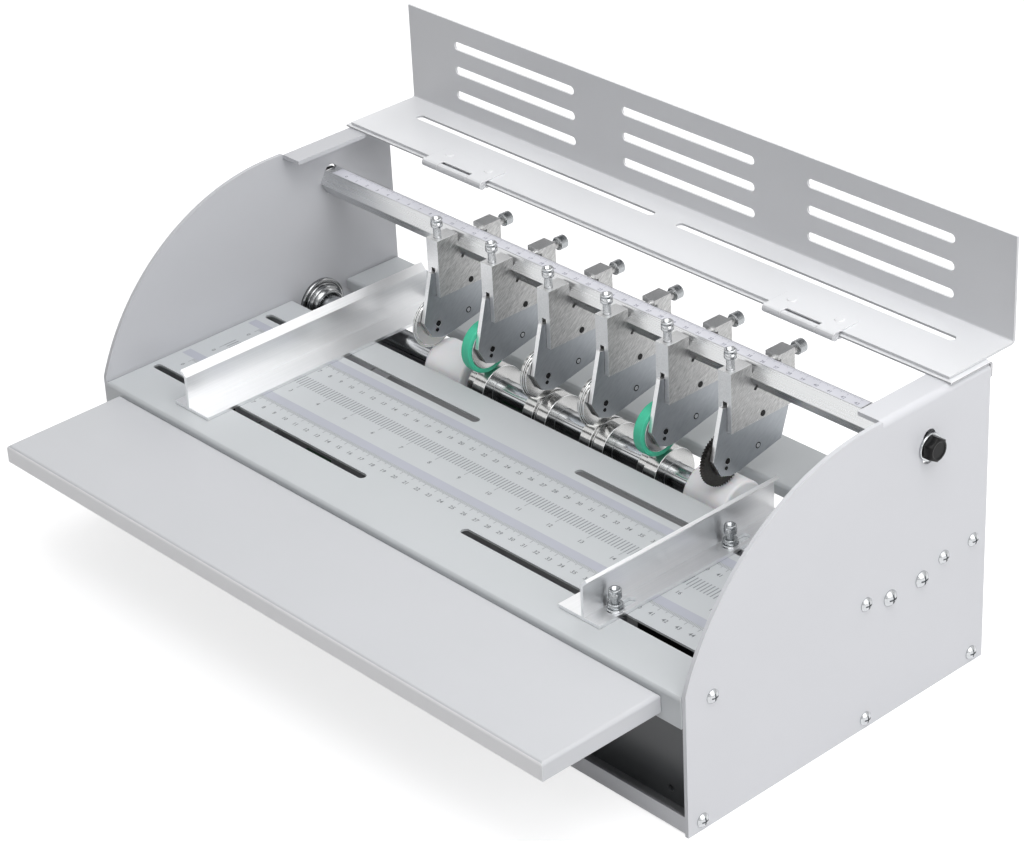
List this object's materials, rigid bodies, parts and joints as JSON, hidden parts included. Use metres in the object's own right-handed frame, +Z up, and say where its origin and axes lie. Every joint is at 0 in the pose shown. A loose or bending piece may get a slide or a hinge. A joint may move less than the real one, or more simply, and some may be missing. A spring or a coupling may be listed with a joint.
{
  "type": "desktop paper creasing machine",
  "caption": "Desktop creasing and perforating machine: sheet-metal frame, driven roller shaft, sliding tool heads on a hexagonal bar, feed table with guides, hinged cover.",
  "frame": {"origin": "middle of the footprint, on the base tray's underside, where the machine stands", "axes": "+X along the width and the roller shaft, towards the panel with the bar bolt seen in the picture; +Y from the feed side to the exit side; +Z up"},
  "size_m": [0.5215, 0.346, 0.2553],
  "materials": {
    "painted_panel": "fine satin light grey paint",
    "painted_sheet": "fine satin light grey paint",
    "painted_cover": "fine satin grey paint",
    "dark_sheet": "dark grey paint",
    "sanded_steel": "sanded, plated",
    "arm_steel": "blue-grey, plated",
    "brushed_guide": "brushed",
    "bright_steel": "ground and polished",
    "tool_steel": "turned",
    "dark_steel": "blackened",
    "black_bolt": "black oxide",
    "zinc": "zinc plated",
    "nylon": "turned nylon",
    "green_rubber": "smooth green urethane",
    "belt_rubber": "ribbed",
    "black_plastic": "moulded",
    "motor_can": "black paint",
    "board": "circuit board"
  },
  "bodies": {
    "frame": {"left_side_panel": "painted_panel", "right_side_panel": "painted_panel", "base_tray": "painted_panel", "partition": "dark_sheet", "feed_table": "painted_sheet", "exit_plate": "painted_sheet", "top_crossbar": "painted_cover", "frame_hinge_leaves": "painted_cover", "tool_bar": "bright_steel", "bar_bolts": "black_bolt", "panel_screws": "zinc", "shaft_bearings": "bright_steel", "motor": "motor_can", "motor_bracket": "zinc", "drive_belt": "belt_rubber", "control_board": "board", "power_inlet": "black_plastic", "power_switch": "black_plastic", "speed_control": "zinc"},
    "roller_shaft": {"drive_shaft": "bright_steel", "steel_rollers": "tool_steel", "nylon_rollers": "nylon", "shaft_pulley": "tool_steel"},
    "motor_shaft": {"motor_pulley": "tool_steel"},
    "cover": {"cover": "painted_cover", "cover_hinge_leaves": "painted_cover"},
    "front_tray": {"front_tray": "painted_panel"},
    "left_guide": {"left_guide": "brushed_guide", "left_guide_screws": "zinc"},
    "right_guide": {"right_guide": "brushed_guide", "right_guide_screws": "zinc"},
    "head_1": {"head_block_1": "sanded_steel"},
    "arm_1": {"head_arm_1": "arm_steel"},
    "adjuster_1": {"head_adjuster_1": "zinc"},
    "wheel_1": {"slitting_wheel_1": "tool_steel"},
    "head_2": {"head_block_2": "sanded_steel"},
    "arm_2": {"head_arm_2": "arm_steel"},
    "adjuster_2": {"head_adjuster_2": "zinc"},
    "wheel_2": {"feed_wheel_2": "tool_steel", "feed_tyre_2": "green_rubber"},
    "head_3": {"head_block_3": "sanded_steel"},
    "arm_3": {"head_arm_3": "arm_steel"},
    "adjuster_3": {"head_adjuster_3": "zinc"},
    "wheel_3": {"creasing_wheel_3": "tool_steel"},
    "head_4": {"head_block_4": "sanded_steel"},
    "arm_4": {"head_arm_4": "arm_steel"},
    "adjuster_4": {"head_adjuster_4": "zinc"},
    "wheel_4": {"creasing_wheel_4": "tool_steel"},
    "head_5": {"head_block_5": "sanded_steel"},
    "arm_5": {"head_arm_5": "arm_steel"},
    "adjuster_5": {"head_adjuster_5": "zinc"},
    "wheel_5": {"feed_wheel_5": "tool_steel", "feed_tyre_5": "green_rubber"},
    "head_6": {"head_block_6": "sanded_steel"},
    "arm_6": {"head_arm_6": "arm_steel"},
    "adjuster_6": {"head_adjuster_6": "zinc"},
    "wheel_6": {"perforating_wheel_6": "dark_steel"},
    "rocker": {"switch_rocker": "black_plastic"},
    "knob": {"speed_knob": "black_plastic"}
  },
  "joints": [
    {"name": "shaft_spin", "type": "hinge", "parent": "frame", "child": "roller_shaft", "pos_m": [0, 0.0519, 0.0761], "axis": [1, 0, 0], "continuous": true},
    {"name": "motor_spin", "type": "hinge", "parent": "frame", "child": "motor_shaft", "pos_m": [0.22, -0.0105, 0.036], "axis": [1, 0, 0], "continuous": true},
    {"name": "cover_hinge", "type": "hinge", "parent": "frame", "child": "cover", "pos_m": [0, 0.0825, 0.19015], "axis": [1, 0, 0], "range_deg": [0, 179.4]},
    {"name": "tray_lift", "type": "slide", "parent": "frame", "child": "front_tray", "axis": [0, 0, 1], "range_m": [0, 0.006]},
    {"name": "left_guide_slide", "type": "slide", "parent": "frame", "child": "left_guide", "axis": [1, 0, 0], "range_m": [-0.04, 0.028]},
    {"name": "right_guide_slide", "type": "slide", "parent": "frame", "child": "right_guide", "axis": [1, 0, 0], "range_m": [-0.009, 0.038]},
    {"name": "head_1_slide", "type": "slide", "parent": "frame", "child": "head_1", "axis": [1, 0, 0], "range_m": [-0.017, 0.017]},
    {"name": "arm_1_tilt", "type": "hinge", "parent": "head_1", "child": "arm_1", "pos_m": [-0.12275, 0.0693, 0.1314], "axis": [-1, 0, 0], "range_deg": [0, 4]},
    {"name": "adjuster_1_screw", "type": "slide", "parent": "head_1", "child": "adjuster_1", "axis": [0, 0, 1], "range_m": [0, 0.0016]},
    {"name": "wheel_1_spin", "type": "hinge", "parent": "arm_1", "child": "wheel_1", "pos_m": [-0.12605, 0.0441, 0.1093], "axis": [1, 0, 0], "continuous": true},
    {"name": "head_2_slide", "type": "slide", "parent": "frame", "child": "head_2", "axis": [1, 0, 0], "range_m": [-0.017, 0.017]},
    {"name": "arm_2_tilt", "type": "hinge", "parent": "head_2", "child": "arm_2", "pos_m": [-0.07365, 0.0693, 0.1314], "axis": [-1, 0, 0], "range_deg": [0, 4]},
    {"name": "adjuster_2_screw", "type": "slide", "parent": "head_2", "child": "adjuster_2", "axis": [0, 0, 1], "range_m": [0, 0.0016]},
    {"name": "wheel_2_spin", "type": "hinge", "parent": "arm_2", "child": "wheel_2", "pos_m": [-0.07895, 0.0441, 0.1093], "axis": [1, 0, 0], "continuous": true},
    {"name": "head_3_slide", "type": "slide", "parent": "frame", "child": "head_3", "axis": [1, 0, 0], "range_m": [-0.017, 0.017]},
    {"name": "arm_3_tilt", "type": "hinge", "parent": "head_3", "child": "arm_3", "pos_m": [-0.02455, 0.0693, 0.1314], "axis": [-1, 0, 0], "range_deg": [0, 4]},
    {"name": "adjuster_3_screw", "type": "slide", "parent": "head_3", "child": "adjuster_3", "axis": [0, 0, 1], "range_m": [0, 0.0016]},
    {"name": "wheel_3_spin", "type": "hinge", "parent": "arm_3", "child": "wheel_3", "pos_m": [-0.02905, 0.0441, 0.1093], "axis": [1, 0, 0], "continuous": true},
    {"name": "head_4_slide", "type": "slide", "parent": "frame", "child": "head_4", "axis": [1, 0, 0], "range_m": [-0.017, 0.017]},
    {"name": "arm_4_tilt", "type": "hinge", "parent": "head_4", "child": "arm_4", "pos_m": [0.02455, 0.0693, 0.1314], "axis": [-1, 0, 0], "range_deg": [0, 4]},
    {"name": "adjuster_4_screw", "type": "slide", "parent": "head_4", "child": "adjuster_4", "axis": [0, 0, 1], "range_m": [0, 0.0016]},
    {"name": "wheel_4_spin", "type": "hinge", "parent": "arm_4", "child": "wheel_4", "pos_m": [0.02005, 0.0441, 0.1093], "axis": [1, 0, 0], "continuous": true},
    {"name": "head_5_slide", "type": "slide", "parent": "frame", "child": "head_5", "axis": [1, 0, 0], "range_m": [-0.017, 0.017]},
    {"name": "arm_5_tilt", "type": "hinge", "parent": "head_5", "child": "arm_5", "pos_m": [0.07365, 0.0693, 0.1314], "axis": [-1, 0, 0], "range_deg": [0, 4]},
    {"name": "adjuster_5_screw", "type": "slide", "parent": "head_5", "child": "adjuster_5", "axis": [0, 0, 1], "range_m": [0, 0.0016]},
    {"name": "wheel_5_spin", "type": "hinge", "parent": "arm_5", "child": "wheel_5", "pos_m": [0.06835, 0.0441, 0.1093], "axis": [1, 0, 0], "continuous": true},
    {"name": "head_6_slide", "type": "slide", "parent": "frame", "child": "head_6", "axis": [1, 0, 0], "range_m": [-0.017, 0.017]},
    {"name": "arm_6_tilt", "type": "hinge", "parent": "head_6", "child": "arm_6", "pos_m": [0.12275, 0.0693, 0.1314], "axis": [-1, 0, 0], "range_deg": [0, 4]},
    {"name": "adjuster_6_screw", "type": "slide", "parent": "head_6", "child": "adjuster_6", "axis": [0, 0, 1], "range_m": [0, 0.0016]},
    {"name": "wheel_6_spin", "type": "hinge", "parent": "arm_6", "child": "wheel_6", "pos_m": [0.11945, 0.0441, 0.1093], "axis": [1, 0, 0], "continuous": true},
    {"name": "switch_rock", "type": "hinge", "parent": "frame", "child": "rocker", "pos_m": [-0.25, -0.0385, 0.04], "axis": [0, 1, 0], "range_deg": [0, 16]},
    {"name": "speed_turn", "type": "hinge", "parent": "frame", "child": "knob", "pos_m": [-0.25, -0.0065, 0.04], "axis": [-1, 0, 0], "range_deg": [0, 300]}
  ],
  "couplings": [
    {"joint": "motor_spin", "follows": "shaft_spin", "ratio": 1.5},
    {"joint": "adjuster_1_screw", "follows": "arm_1_tilt", "m_per_rad": 0.0206},
    {"joint": "wheel_1_spin", "follows": "shaft_spin", "ratio": -1.0119},
    {"joint": "adjuster_2_screw", "follows": "arm_2_tilt", "m_per_rad": 0.0206},
    {"joint": "wheel_2_spin", "follows": "shaft_spin", "ratio": -1.0119},
    {"joint": "adjuster_3_screw", "follows": "arm_3_tilt", "m_per_rad": 0.0206},
    {"joint": "wheel_3_spin", "follows": "shaft_spin", "ratio": -1.0119},
    {"joint": "adjuster_4_screw", "follows": "arm_4_tilt", "m_per_rad": 0.0206},
    {"joint": "wheel_4_spin", "follows": "shaft_spin", "ratio": -1.0119},
    {"joint": "adjuster_5_screw", "follows": "arm_5_tilt", "m_per_rad": 0.0206},
    {"joint": "wheel_5_spin", "follows": "shaft_spin", "ratio": -1.0119},
    {"joint": "adjuster_6_screw", "follows": "arm_6_tilt", "m_per_rad": 0.0206},
    {"joint": "wheel_6_spin", "follows": "shaft_spin", "ratio": -1.0119}
  ]
}
